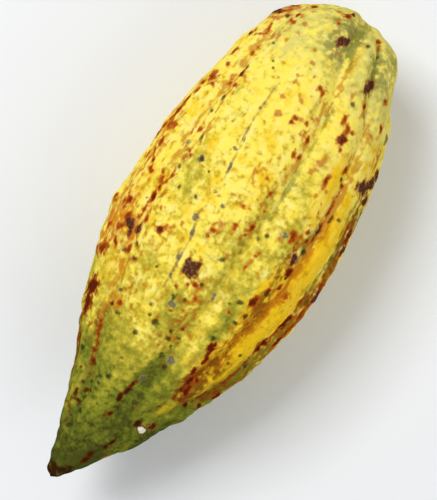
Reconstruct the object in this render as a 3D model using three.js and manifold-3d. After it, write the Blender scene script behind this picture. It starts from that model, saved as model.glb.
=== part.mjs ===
// Cacao pod, picked ripe and lying on its side.
//
// The pod is one grown piece, so it is one closed solid. Its outline is a spline turned round
// the pod's long axis. Ten lengthwise furrows, a few broad swellings and many low warts are
// added to that outline along its normal, and a small flat spot is cut where the pod rests.
//
// Millimetres. +X runs from the stalk end to the tip, +Z is up, and the flat spot lies in
// z = 0 round the origin.
import * as THREE from 'three';
import { mergeVertices } from 'three/addons/utils/BufferGeometryUtils.js';
import Module from 'manifold-3d';

// ---- driving dimensions -------------------------------------------------------------------

const POD_LENGTH = 210;
const WIDEST_RADIUS = 42.1;
// Height of the long axis over the flat spot. It is a little less than the radius, which is
// what makes the spot flat.
const AXIS_HEIGHT = 41.2;
// The flat spot lies under the pod's centre of mass, this far from the stalk end.
const REST_STATION = 93.5;

// Outline from the middle of the stalk scar to the tip: [distance from stalk end, radius].
const OUTLINE = [
  [2.9, 0], [2.7, 3.8], [3.6, 5.6], [2.4, 7.4], [1.9, 9.4], [3.4, 12.6], [6.2, 17.2],
  [9.9, 21.8], [15.5, 26.3], [25, 30.3], [40, 35.7], [60, 39.8], [83, 42], [106, WIDEST_RADIUS],
  [124, 39.3], [139, 34.8], [153, 29.6], [165, 23.5], [176, 19.1], [186, 15.1], [194, 10.2],
  [201, 6.9], [205.4, 4.2], [208.3, 2.5], [POD_LENGTH, 0],
];

// Number of the outline's point on the rim of the stalk scar.
const SCAR_RIM = 4;

// Sideways place of the pod's middle line at even stations along it: the tip bends to one side.
const MIDDLE_LINE = [0.6, -0.9, 0.6, 0.4, 0.7, 0.4, 0.6, 1, 0.5, -1.7, -6.3];

// The ten furrows, in order round the pod. Each has its angle from the top, in degrees, at five
// even stations between x = 0 and x = 200, its depth, and the angle from its floor to its side.
const FURROW_STATION_STEP = 50;
const FURROWS = [
  { angles: [-62, -51, -46, -44.5, -42], depth: 2.8, spread: 7 },
  { angles: [-25, -18.5, -13, -12, -13], depth: 0.5, spread: 4 },
  { angles: [8, 16, 15, 12, 0], depth: 2.8, spread: 7 },
  { angles: [38, 44, 46, 38, 35], depth: 1.8, spread: 5 },
  { angles: [92, 77, 69.5, 62, 54], depth: 2.8, spread: 6.5 },
  { angles: [124, 114, 103, 97, 90], depth: 1.6, spread: 5.5 },
  { angles: [152, 148, 140, 135, 130], depth: 3.1, spread: 7.5 },
  { angles: [186, 184, 181, 177, 172], depth: 0.4, spread: 4 },
  { angles: [222, 222, 221, 219, 215], depth: 3.1, spread: 7.5 },
  { angles: [260, 263, 267, 266, 263], depth: 1.6, spread: 5.5 },
];
const FURROW_POWER = 1.6;
// A furrow starts outside the stalk scar, at the first radius, and is full at the second.
const FURROW_START_RADIUS = 4;
const FURROW_FULL_RADIUS = 19;
// Towards the tip a furrow covers a wider angle, down to this radius.
const NARROW_RADIUS = 6;

// Broad swellings and hollows: distance from the stalk end, angle from the top, height (less
// than nothing for a hollow) and radius.
const SWELLINGS = [
  { along: 4, angle: -6, height: 0.7, radius: 9 },
  { along: 14, angle: 0, height: 1.1, radius: 9 },
  { along: 9, angle: 68, height: 1.2, radius: 12 },
  { along: 3, angle: 24, height: -1.6, radius: 6 },
  { along: 3, angle: 58, height: -0.5, radius: 9 },
  { along: 31, angle: 92, height: 1.4, radius: 8 },
  { along: 32, angle: -88, height: 1.2, radius: 8 },
  { along: 71, angle: -88, height: 1, radius: 8 },
  { along: 107, angle: -85, height: 0.8, radius: 9 },
  { along: 143, angle: -89, height: 0.9, radius: 6 },
  { along: 154, angle: -90, height: 1.2, radius: 6 },
  { along: 164, angle: 88, height: 1.3, radius: 7 },
  { along: 167, angle: -90, height: 0.9, radius: 6 },
  { along: 192, angle: 88, height: -1.2, radius: 6 },
];

// Low warts, spread evenly by the golden-ratio sequence for two dimensions. They grow from the
// stalk end towards the tip, and every third one is a dimple.
const WART_COUNT = 150;
const WART_FIRST = 16;
const WART_LAST = 196;
const WART_STEP_ALONG = 0.7548776662;
const WART_STEP_ROUND = 0.569840291;
const WART_RADIUS = [5, 8];
const WART_HEIGHT = [0.3, 0.9];
const DIMPLE_SHARE = 0.6;

// The mesh: rings along the outline, whose length is measured with this many samples, and
// columns that follow the furrows. The columns of one panel lie at these shares of the way from
// its furrow to the next.
const RINGS = 78;
const OUTLINE_SAMPLES = 2000;
const PANEL_COLUMNS = [0, 0.1, 0.22, 0.39, 0.61, 0.78, 0.9];

const wasm = await Module();
wasm.setup();

// ---- the surface formula ------------------------------------------------------------------

const outlinePoints = OUTLINE.map(([along, radius]) => new THREE.Vector2(along, radius));
const outlineCurve = new THREE.SplineCurve(outlinePoints);
outlineCurve.arcLengthDivisions = OUTLINE_SAMPLES;

// A smooth value through evenly spaced control values; position counts them from 0.
function smoothValue(values, position) {
  const last = values.length - 1;
  const place = THREE.MathUtils.clamp(position, 0, last);
  const index = Math.min(Math.floor(place), last - 1);
  const t = place - index;
  const before = values[Math.max(index - 1, 0)];
  const start = values[index];
  const end = values[index + 1];
  const after = values[Math.min(index + 2, last)];
  const startSlope = (end - before) / 2;
  const endSlope = (after - start) / 2;
  const cubic = 2 * start - 2 * end + startSlope + endSlope;
  const square = 3 * end - 3 * start - 2 * startSlope - endSlope;
  return ((cubic * t + square) * t + startSlope) * t + start;
}

function furrowAngle(furrow, along) {
  return smoothValue(furrow.angles, along / FURROW_STATION_STEP);
}

function middleOffset(along) {
  return smoothValue(MIDDLE_LINE, (along / POD_LENGTH) * (MIDDLE_LINE.length - 1));
}

// Angle of a column: it stands at the share's way between furrow number panel and the next.
function columnAngle(panel, share, along) {
  const turn = panel === FURROWS.length - 1 ? 360 : 0;
  const next = FURROWS[(panel + 1) % FURROWS.length];
  return THREE.MathUtils.lerp(furrowAngle(FURROWS[panel], along), furrowAngle(next, along) + turn, share);
}

function angleBetween(first, second) {
  return THREE.MathUtils.euclideanModulo(first - second + 180, 360) - 180;
}

function furrowDepth(along, radius, angle) {
  const fade = THREE.MathUtils.smoothstep(radius, FURROW_START_RADIUS, FURROW_FULL_RADIUS);
  const widening = Math.sqrt(WIDEST_RADIUS / Math.max(radius, NARROW_RADIUS));
  let depth = 0;
  for (const furrow of FURROWS) {
    const away = Math.abs(angleBetween(angle, furrowAngle(furrow, along)));
    depth += furrow.depth * Math.exp(-((away / (furrow.spread * widening)) ** FURROW_POWER));
  }
  return fade * depth;
}

// The outline's point and outward direction at a share of its length.
function outlineAt(share) {
  const point = outlineCurve.getPointAt(share);
  const tangent = outlineCurve.getTangentAt(share);
  return { along: point.x, radius: point.y, outAlong: -tangent.y, outRadius: tangent.x };
}

function placeOnOutline(along, radius, angle) {
  const turn = THREE.MathUtils.degToRad(angle);
  return new THREE.Vector3(along, radius * Math.sin(turn), radius * Math.cos(turn));
}

// The outline's radius at a distance from the stalk end, past the rim of the scar.
function radiusAt(along) {
  for (let index = SCAR_RIM; index < OUTLINE.length - 1; index += 1) {
    const [from, fromRadius] = OUTLINE[index];
    const [to, toRadius] = OUTLINE[index + 1];
    if (along >= from && along <= to) {
      return THREE.MathUtils.mapLinear(along, from, to, fromRadius, toRadius);
    }
  }
  return OUTLINE[SCAR_RIM][1];
}

function makeWarts() {
  const warts = [];
  for (let index = 1; index <= WART_COUNT; index += 1) {
    const lengthShare = (0.5 + index * WART_STEP_ALONG) % 1;
    const roundShare = (0.5 + index * WART_STEP_ROUND) % 1;
    const sizeShare = (index * Math.SQRT2) % 1;
    const height = THREE.MathUtils.lerp(...WART_HEIGHT, lengthShare);
    warts.push({
      along: THREE.MathUtils.lerp(WART_FIRST, WART_LAST, lengthShare),
      angle: 360 * roundShare,
      height: index % 3 === 0 ? -DIMPLE_SHARE * height : height,
      radius: THREE.MathUtils.lerp(...WART_RADIUS, sizeShare),
    });
  }
  return warts;
}

const bumps = [...SWELLINGS, ...makeWarts()].map(({ along, angle, height, radius }) => (
  { centre: placeOnOutline(along, radiusAt(along), angle), height, radius }
));

function bumpHeight(point) {
  let height = 0;
  for (const bump of bumps) {
    const share = 1 - point.distanceToSquared(bump.centre) / bump.radius ** 2;
    if (share > 0) {
      height += bump.height * share * share;
    }
  }
  return height;
}

function surfacePoint({ along, radius, outAlong, outRadius }, angle) {
  const lift = bumpHeight(placeOnOutline(along, radius, angle)) - furrowDepth(along, radius, angle);
  const point = placeOnOutline(along + lift * outAlong, radius + lift * outRadius, angle);
  point.y += middleOffset(point.x);
  return point;
}

// ---- the solid ----------------------------------------------------------------------------

// A closed skin: one vertex at each end of the axis, and a ring of columns at each step between.
function makeSkin() {
  const columns = FURROWS.length * PANEL_COLUMNS.length;
  const positions = [];
  const triangles = [];
  const addPoint = (point) => positions.push(point.x - REST_STATION, point.y, point.z + AXIS_HEIGHT);

  addPoint(surfacePoint(outlineAt(0), 0));
  for (let ring = 1; ring < RINGS; ring += 1) {
    const place = outlineAt(ring / RINGS);
    for (let panel = 0; panel < FURROWS.length; panel += 1) {
      for (const share of PANEL_COLUMNS) {
        addPoint(surfacePoint(place, columnAngle(panel, share, place.along)));
      }
    }
  }
  addPoint(surfacePoint(outlineAt(1), 0));

  const vertex = (ring, column) => 1 + (ring - 1) * columns + (column % columns);
  const tip = positions.length / 3 - 1;
  for (let column = 0; column < columns; column += 1) {
    triangles.push(0, vertex(1, column), vertex(1, column + 1));
    triangles.push(tip, vertex(RINGS - 1, column + 1), vertex(RINGS - 1, column));
    for (let ring = 1; ring < RINGS - 1; ring += 1) {
      const corners = [vertex(ring, column), vertex(ring, column + 1)];
      const further = [vertex(ring + 1, column), vertex(ring + 1, column + 1)];
      triangles.push(corners[0], further[1], corners[1]);
      triangles.push(corners[0], further[0], further[1]);
    }
  }
  return new wasm.Manifold(new wasm.Mesh({
    numProp: 3,
    vertProperties: new Float32Array(positions),
    triVerts: new Uint32Array(triangles),
  }));
}

// The ground as a block whose top face is z = 0.
function makeGroundBlock() {
  const depth = WIDEST_RADIUS;
  const box = new THREE.BoxGeometry(2 * POD_LENGTH, 4 * WIDEST_RADIUS, depth);
  box.translate(0, 0, -depth / 2);
  box.deleteAttribute('normal');
  box.deleteAttribute('uv');
  const merged = mergeVertices(box);
  return new wasm.Manifold(new wasm.Mesh({
    numProp: 3,
    vertProperties: new Float32Array(merged.attributes.position.array),
    triVerts: new Uint32Array(merged.index.array),
  }));
}

function toGeometry(solid) {
  const mesh = solid.getMesh();
  const geometry = new THREE.BufferGeometry();
  geometry.setAttribute('position', new THREE.BufferAttribute(new Float32Array(mesh.vertProperties), 3));
  geometry.setIndex(new THREE.BufferAttribute(new Uint32Array(mesh.triVerts), 1));
  return geometry;
}

function makePod() {
  const solid = makeSkin().subtract(makeGroundBlock());
  const skin = new THREE.MeshStandardMaterial({ color: 0xd8b63f, roughness: 0.45, metalness: 0 });
  const pod = new THREE.Mesh(toGeometry(solid), skin);
  pod.name = 'cacao_pod';
  return pod;
}

const model = new THREE.Group();
model.add(makePod());

export default model;
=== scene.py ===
import math

import bpy
import numpy as np
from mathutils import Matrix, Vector, noise
from mathutils.bvhtree import BVHTree


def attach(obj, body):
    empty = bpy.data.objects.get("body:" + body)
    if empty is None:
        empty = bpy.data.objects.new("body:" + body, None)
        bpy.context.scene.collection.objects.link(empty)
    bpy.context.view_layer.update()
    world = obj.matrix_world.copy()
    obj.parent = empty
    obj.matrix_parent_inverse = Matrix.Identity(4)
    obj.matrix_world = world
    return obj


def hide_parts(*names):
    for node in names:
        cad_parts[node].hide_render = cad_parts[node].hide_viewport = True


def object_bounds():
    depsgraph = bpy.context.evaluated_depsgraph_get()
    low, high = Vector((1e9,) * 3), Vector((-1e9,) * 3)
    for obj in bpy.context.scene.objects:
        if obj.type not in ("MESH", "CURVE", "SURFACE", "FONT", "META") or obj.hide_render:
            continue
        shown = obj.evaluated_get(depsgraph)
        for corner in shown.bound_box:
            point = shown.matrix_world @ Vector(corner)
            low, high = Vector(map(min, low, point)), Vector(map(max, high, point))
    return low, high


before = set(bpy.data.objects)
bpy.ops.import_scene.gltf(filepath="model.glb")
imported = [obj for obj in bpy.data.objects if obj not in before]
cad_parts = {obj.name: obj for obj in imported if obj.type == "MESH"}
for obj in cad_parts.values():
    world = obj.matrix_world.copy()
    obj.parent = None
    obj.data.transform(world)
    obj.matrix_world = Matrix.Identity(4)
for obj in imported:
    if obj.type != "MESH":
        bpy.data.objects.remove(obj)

cad_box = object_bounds()

# The looks of a ripe cacao pod lying on its side. The pod's skin is made again by the formula
# that the CAD solid was made with, on a finer mesh and with finer relief, and is then painted
# by node materials. Lengths are in millimetres up to the mesh itself, which is in metres.

MM = 0.001

# ---- the pod's form, as in the CAD model ----------------------------------------------------

POD_LENGTH = 210
WIDEST_RADIUS = 42.1
AXIS_HEIGHT = 41.2
REST_STATION = 93.5  # what of the pod's length lies over the frame's origin
# The outline's places along the pod and its radii there.
OUTLINE = [
    (2.9, 0), (2.7, 3.8), (3.6, 5.6), (2.4, 7.4), (1.9, 9.4), (3.4, 12.6), (6.2, 17.2),
    (9.9, 21.8), (15.5, 26.3), (25, 30.3), (40, 35.7), (60, 39.8), (83, 42), (106, WIDEST_RADIUS),
    (124, 39.3), (139, 34.8), (153, 29.6), (165, 23.5), (176, 19.1), (186, 15.1), (194, 10.2),
    (201, 6.9), (205.4, 4.2), (208.3, 2.5), (POD_LENGTH, 0),
]
SCAR_RIM = 4  # the outline's point on the rim of the stalk scar
# How far the pod's middle lies to the side (+Y) at even stations.
MIDDLE_LINE = [0.6, -0.9, 0.6, 0.4, 0.7, 0.4, 0.6, 1, 0.5, -1.7, -6.3]

# Each furrow: its angle from the top at five even stations, its depth, its spread in degrees,
# and how strongly it is stained and shaded.
FURROW_STATION_STEP = 50
FURROWS = [
    ([-62, -51, -46, -44.5, -42], 2.8, 7, 0.7),
    ([-25, -18.5, -13, -12, -13], 0.5, 4, 0),
    ([8, 16, 15, 12, 0], 2.8, 7, 0.55),
    ([38, 44, 46, 38, 35], 1.8, 5, 1),
    ([92, 77, 69.5, 62, 54], 2.8, 6.5, 1),
    ([124, 114, 103, 97, 90], 1.6, 5.5, 0.7),
    ([152, 148, 140, 135, 130], 3.1, 7.5, 0.6),
    ([186, 184, 181, 177, 172], 0.4, 4, 0.2),
    ([222, 222, 221, 219, 215], 3.1, 7.5, 0.7),
    ([260, 263, 267, 266, 263], 1.6, 5.5, 0.8),
]
FURROW_POWER = 1.6
FURROW_START_RADIUS = 4
FURROW_FULL_RADIUS = 19
NARROW_RADIUS = 6

# Each swelling or hollow: its place along the pod, its angle, its height and its radius.
SWELLINGS = [
    (4, -6, 0.7, 9), (14, 0, 1.1, 9), (9, 68, 1.2, 12), (3, 24, -1.6, 6), (3, 58, -0.5, 9),
    (31, 92, 1.4, 8), (32, -88, 1.2, 8), (71, -88, 1, 8), (107, -85, 0.8, 9), (143, -89, 0.9, 6),
    (154, -90, 1.2, 6), (164, 88, 1.3, 7), (167, -90, 0.9, 6), (192, 88, -1.2, 6),
]
WART_COUNT = 150
WART_FIRST = 16
WART_LAST = 196
# These two steps, as shares, spread the warts evenly over the skin.
WART_STEP_ALONG = 0.7548776662
WART_STEP_ROUND = 0.569840291
WART_RADIUS = (5, 8)
WART_HEIGHT = (0.3, 0.9)
DIMPLE_SHARE = 0.6

RINGS = 320
PANEL_COLUMNS = 30
OUTLINE_SAMPLES = 4000


def smooth_value(values, position):
    """Smooth value through evenly spaced control values; position counts them from 0."""
    values = np.asarray(values, float)
    last = len(values) - 1
    place = np.clip(position, 0, last)
    index = np.minimum(place.astype(int), last - 1)
    t = place - index
    if values.ndim > 1:
        t = t[..., None]
    before = values[np.maximum(index - 1, 0)]
    start = values[index]
    end = values[index + 1]
    after = values[np.minimum(index + 2, last)]
    start_slope = (end - before) / 2
    end_slope = (after - start) / 2
    cubic = 2 * start - 2 * end + start_slope + end_slope
    square = 3 * end - 3 * start - 2 * start_slope - end_slope
    return ((cubic * t + square) * t + start_slope) * t + start


def smoothstep(value, low, high):
    t = np.clip((value - low) / (high - low), 0, 1)
    return t * t * (3 - 2 * t)


def outline_steps(count):
    """Points and outward directions of the outline at even steps of its length."""
    dense = smooth_value(OUTLINE, np.linspace(0, len(OUTLINE) - 1, OUTLINE_SAMPLES))
    lengths = np.concatenate([[0], np.cumsum(np.hypot(*np.diff(dense, axis=0).T))])
    tangents = np.gradient(dense, axis=0)
    tangents /= np.hypot(*tangents.T)[:, None]
    steps = np.linspace(0, lengths[-1], count + 1)
    columns = [*dense.T, -tangents[:, 1], tangents[:, 0]]
    return [np.interp(steps, lengths, column) for column in columns]


def furrow_angle(angles, along):
    return smooth_value(angles, np.asarray(along) / FURROW_STATION_STEP)


def angle_between(first, second):
    return (first - second + 180) % 360 - 180


def column_angles(along):
    """Angle of every column at each ring: a panel's columns stand evenly between two furrows."""
    corners = [furrow_angle(angles, along) for angles, *_ in FURROWS]
    corners.append(corners[0] + 360)
    shares = np.arange(PANEL_COLUMNS) / PANEL_COLUMNS
    panels = [
        first[:, None] * (1 - shares) + second[:, None] * shares
        for first, second in zip(corners, corners[1:])
    ]
    return np.concatenate(panels, axis=1)


def furrow_depth(along, radius, angle):
    fade = smoothstep(radius, FURROW_START_RADIUS, FURROW_FULL_RADIUS)
    widening = np.sqrt(WIDEST_RADIUS / np.maximum(radius, NARROW_RADIUS))
    depth = 0
    for angles, full_depth, spread, _ in FURROWS:
        away = np.abs(angle_between(angle, furrow_angle(angles, along)))
        share = away / (spread * widening)
        depth = depth + full_depth * np.exp(-(share ** FURROW_POWER))
    return fade * depth


def place_on_outline(along, radius, angle):
    turn = np.radians(angle)
    return np.stack([along + 0 * turn, radius * np.sin(turn), radius * np.cos(turn)], axis=-1)


def radius_at(along):
    body = OUTLINE[SCAR_RIM:]
    return np.interp(along, [point[0] for point in body], [point[1] for point in body])


def lerp(ends, share):
    return ends[0] + (ends[1] - ends[0]) * share


def make_warts():
    """Low warts, and a dimple for every third, given as the swellings are."""
    warts = []
    for index in range(1, WART_COUNT + 1):
        length_share = (0.5 + index * WART_STEP_ALONG) % 1
        height = lerp(WART_HEIGHT, length_share)
        warts.append((
            lerp((WART_FIRST, WART_LAST), length_share),
            360 * ((0.5 + index * WART_STEP_ROUND) % 1),
            -DIMPLE_SHARE * height if index % 3 == 0 else height,
            lerp(WART_RADIUS, (index * math.sqrt(2)) % 1),
        ))
    return warts


def bump_height(points):
    height = np.zeros(points.shape[:-1])
    for along, angle, lift, radius in SWELLINGS + make_warts():
        centre = place_on_outline(along, radius_at(along), angle)
        share = np.maximum(1 - ((points - centre) ** 2).sum(-1) / radius ** 2, 0)
        height += lift * share * share
    return height


# ---- finer relief ---------------------------------------------------------------------------

# Layers of fine relief: size of a lump, its height, and the share of the height that is left
# at the stalk end and at the tip. Pillows are round lumps with creases between.
RELIEF = [
    {"size": 6, "height": 0.62, "at_stalk": 0.15, "at_tip": 0.6, "pillows": True},
    {"size": 4.5, "height": 0.7, "at_stalk": 0.25, "at_tip": 0.6, "pillows": False},
    {"size": 2.2, "height": 0.36, "at_stalk": 0.25, "at_tip": 1, "pillows": False},
]
PILLOW_MEAN = 0.2  # what the size of the noise comes to on average
ROUGH_FROM = (35, 105)  # the skin gets rough between these
ROUGH_TO = (125, 160)  # and gets smoother again between these
RELIEF_STRETCH = 1.25  # lumps are a little longer along the pod than across it
CREASE_DEPTH = 0.4
CREASE_WIDTH = 1
CREASE_ENDS = (10, 25, 140, 170)  # where it begins, is full, starts to fade and is gone


def fine_relief(points, along):
    """Height of the fine relief in millimetres."""
    grown = smoothstep(along, *ROUGH_FROM)
    tapered = smoothstep(along, *ROUGH_TO)
    relief = np.zeros(along.shape)
    for layer in RELIEF:
        places = points.reshape(-1, 3) / (layer["size"] * np.array((RELIEF_STRETCH, 1, 1)))
        values = np.reshape([noise.noise(Vector(place)) for place in places], along.shape)
        if layer["pillows"]:
            values = np.abs(values) - PILLOW_MEAN
        share = lerp((layer["at_stalk"], 1), grown) * lerp((1, layer["at_tip"]), tapered)
        relief += layer["height"] * share * values
    return relief


def furrow_lines(along, radius, angle, width):
    """How near the skin is to a furrow's middle line, by how strongly that furrow is stained and shaded.
    """
    closeness = 0
    for angles, _, _, stain_and_shade in FURROWS:
        away = np.radians(angle_between(angle, furrow_angle(angles, along))) * radius
        closeness = closeness + stain_and_shade * np.exp(-((away / width) ** 2))
    return closeness


class Skin:
    """The pod's skin as a grid of rings and columns, closed by a point at each end."""

    def __init__(self):
        steps = [column[1:-1, None] for column in outline_steps(RINGS)]
        along, radius, out_along, out_radius = steps
        self.angle = column_angles(along[:, 0])
        self.along = along + 0 * self.angle
        self.radius = radius + 0 * self.angle
        place = self.along, self.radius, self.angle
        base = place_on_outline(*place)
        start, full, fading, end = CREASE_ENDS
        reach = smoothstep(self.along, start, full) * smoothstep(-self.along, -end, -fading)
        crease = CREASE_DEPTH * reach * furrow_lines(*place, CREASE_WIDTH)
        self.fine = fine_relief(base, self.along)
        lift = bump_height(base) - furrow_depth(*place) + self.fine - crease
        along, radius = self.along + lift * out_along, self.radius + lift * out_radius
        points = place_on_outline(along, radius, self.angle)
        middle = points[..., 0] / POD_LENGTH * (len(MIDDLE_LINE) - 1)
        points[..., 1] += smooth_value(MIDDLE_LINE, middle)
        self.points = points + (-REST_STATION, 0, AXIS_HEIGHT)
        first, last = OUTLINE[0][0], OUTLINE[-1][0]
        self.ends = [
            (first - REST_STATION, MIDDLE_LINE[0], AXIS_HEIGHT),
            (last - REST_STATION, MIDDLE_LINE[-1], AXIS_HEIGHT),
        ]

    def normals(self):
        along_step = np.gradient(self.points, axis=0)
        around_step = np.roll(self.points, -1, axis=1) - np.roll(self.points, 1, axis=1)
        normal = np.cross(around_step, along_step)
        return normal / np.linalg.norm(normal, axis=-1, keepdims=True)

    def sink(self, depth):
        """Moves the skin inwards by a depth given for every point."""
        self.points = self.points - self.normals() * depth[..., None]

    def keep_inside(self, box):
        """Squeezes the pod very slightly where its fine relief stands out of the CAD's box."""
        for axis in range(3):
            values = self.points[..., axis]
            values[values < 0] *= min(box[0][axis] / values.min(), 1)
            values[values > 0] *= min(box[1][axis] / values.max(), 1)

    def grid(self):
        """Numbers of the points, and of the points one column further round."""
        numbers = np.arange(self.along.size).reshape(self.along.shape)
        return numbers, np.roll(numbers, -1, axis=1)

    def quads(self):
        here, after = self.grid()
        return np.stack([here[:-1], here[1:], after[1:], after[:-1]], axis=-1).reshape(-1, 4)

    def faces(self):
        here, after = self.grid()
        start, tip = here.size, here.size + 1
        caps = [(start, a, b) for a, b in zip(here[0].tolist(), after[0].tolist())]
        caps += [(tip, b, a) for a, b in zip(here[-1].tolist(), after[-1].tolist())]
        return self.quads().tolist() + caps

    def vertices(self):
        flat = np.concatenate([self.points.reshape(-1, 3), np.array(self.ends)])
        flat[:, 2] = np.maximum(flat[:, 2], 0)
        return flat * MM


# ---- the camera -----------------------------------------------------------------------------

# The camera looks straight down, from above the pod's middle. Its right-hand side points across
# the pod and a little back, so that the stalk end is at the picture's upper right.
CAMERA_STATION = 104
CAMERA_ACROSS = 2
CAMERA_OVER_AXIS = 600
CAMERA_TURN = math.radians(122.15)
CAMERA_LENS = 114.6
EYE = Vector((CAMERA_STATION - REST_STATION, CAMERA_ACROSS, AXIS_HEIGHT + CAMERA_OVER_AXIS))


def make_camera():
    camera = bpy.data.objects.new("camera", bpy.data.cameras.new("camera"))
    camera.data.lens = CAMERA_LENS
    camera.location = EYE * MM
    camera.rotation_euler = (0, 0, CAMERA_TURN)
    bpy.context.scene.collection.objects.link(camera)
    bpy.context.scene.camera = camera


# ---- marks on the skin ----------------------------------------------------------------------

# Marks on the side that the camera sees. Each is given where it is seen on the level below:
# distance from the stalk end, distance to the right (+Y), length along the pod, width across it
# and, where it is turned, its turn in degrees. Lengths are in millimetres.
SEEN_LEVEL = 38

# Maroon scars with a crust.
DARK_MARKS = [
    (12.4, -0.9, 3.2, 3.6), (11.3, 1, 2.8, 2.4), (21.2, 17.4, 5.2, 2.6, 12), (43.9, 19.2, 2.2, 1.4),
    (54.8, 36.6, 5.6, 5.2), (51.8, 37.8, 5.4, 3), (58.4, 39, 4, 1.8), (55.6, 35, 3.4, 3),
    (115.2, -2.3, 6.6, 4.2), (114.8, -4.8, 5.8, 3.6), (113.9, -3.4, 4, 3), (113.3, -31.8, 4, 3.6),
    (116.4, -30.2, 4.2, 1.4, 20), (113.2, -27.9, 3.8, 1.6, 10), (109.2, -21, 1.6, 1.4),
    (92, 27.8, 5.2, 2.4, 10), (78, 30, 4.6, 1.7), (71.8, 40.6, 5, 1.2, 10), (15.4, -27.6, 7, 2.6, -15),
    (12.8, -26, 3, 1.6, -40), (27.7, -31.5, 1.8, 1.7), (1.4, -2.2, 1.8, 1.5), (174, 15.6, 2.6, 4),
    (79, 42, 6, 1.8), (99, 42.8, 8, 2), (49, 38, 6, 1.8, 14),
]

# Dark rust scars, without a crust.
DARK_RUST_MARKS = [
    (141.4, -31.6, 8.5, 5.4, 12), (147, -29.8, 8, 3.4, 14), (113.4, 23.8, 4, 2.3, -12),
    (113.6, 37.9, 8, 2.4, -13), (136.9, 19.2, 4, 2.1), (135, 20.1, 2.6, 1.1), (142.2, 20, 6, 1.3, -6),
    (139.4, 19.8, 7, 1.6, -4), (151, 19.4, 5, 1.8, -8), (155.6, 20.4, 5, 1.8, -8), (148, 18.6, 4.2, 1.9),
    (150.2, 21.2, 2.8, 1.8), (43.6, 19.5, 4.4, 3.1), (109.2, -21.3, 3, 2.3), (97.4, 29.4, 4.6, 2.1),
    (124.6, 35.1, 4.6, 3.2, -10), (128, 34.6, 4, 1.7, -5), (98.5, -29.9, 8, 1.2),
    (164.6, 1.5, 3.4, 1.3, -15), (168, 0.9, 4, 1.2, -20), (171, 0, 3.4, 1.6), (73, 41, 7, 1.6, 6),
    (176.2, 11.1, 2.8, 1.8, -20), (151.4, 30.8, 5, 1.6, -35), (158, 27.4, 2.2, 1.8),
    (160.2, 22.7, 1.8, 1.6), (195.4, 2, 2.6, 1.8, -20), (187, 6.6, 3.4, 1.2, -20),
    (198.4, 1.4, 3, 1.4, -25), (190, 5.4, 1.8, 1.3), (121.5, 39.6, 4.4, 1.5, -15),
]

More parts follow.
